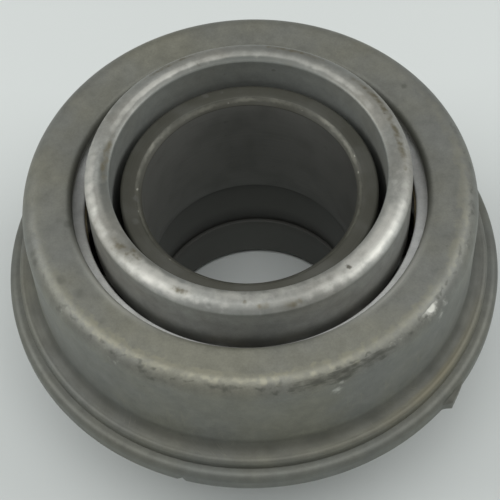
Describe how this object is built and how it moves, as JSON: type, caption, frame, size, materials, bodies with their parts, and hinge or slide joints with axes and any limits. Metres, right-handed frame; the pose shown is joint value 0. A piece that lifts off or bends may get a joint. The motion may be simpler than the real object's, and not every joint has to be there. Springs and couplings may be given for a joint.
{
  "type": "clutch release bearing",
  "caption": "Release bearing on a flanged hub: a crowned thrust ring turns on balls inside a pressed cover, and the hub slides on a guide tube.",
  "frame": {"origin": "centre of the hub's lower end, on the bore's axis", "axes": "+Z along the bore towards the crowned nose; the flange's ramped lug lies between +X and -Y"},
  "size_m": [0.0842, 0.0842, 0.0525],
  "materials": {
    "hub_steel": "dull turned steel with an oily dark bore",
    "cover_steel": "dull phosphated pressing with a rubbed shoulder",
    "race_steel": "ground and hardened",
    "nose_steel": "ground wall, crown polished by wear",
    "shield_steel": "thin rolled sheet, bluish",
    "cage_steel": "pressed strip",
    "ball_steel": "lapped"
  },
  "bodies": {
    "housing": {"hub": "hub_steel", "cover": "cover_steel", "outer_race": "race_steel", "dust_shield": "shield_steel"},
    "thrust": {"thrust_ring": "nose_steel"},
    "ball_cage": {"cage_upper": "cage_steel", "cage_lower": "cage_steel", "cage_rivets": "cage_steel", "ball_01": "ball_steel", "ball_02": "ball_steel", "ball_03": "ball_steel", "ball_04": "ball_steel", "ball_05": "ball_steel", "ball_06": "ball_steel", "ball_07": "ball_steel", "ball_08": "ball_steel", "ball_09": "ball_steel", "ball_10": "ball_steel", "ball_11": "ball_steel", "ball_12": "ball_steel", "ball_13": "ball_steel", "ball_14": "ball_steel"}
  },
  "joints": [
    {"name": "thrust_spin", "type": "hinge", "parent": "housing", "child": "thrust", "pos_m": [0, 0, 0.0367], "axis": [0, 0, 1], "continuous": true},
    {"name": "cage_orbit", "type": "hinge", "parent": "housing", "child": "ball_cage", "pos_m": [0, 0, 0.0367], "axis": [0, 0, 1], "continuous": true}
  ],
  "couplings": [
    {"joint": "cage_orbit", "follows": "thrust_spin", "ratio": 0.4419}
  ]
}
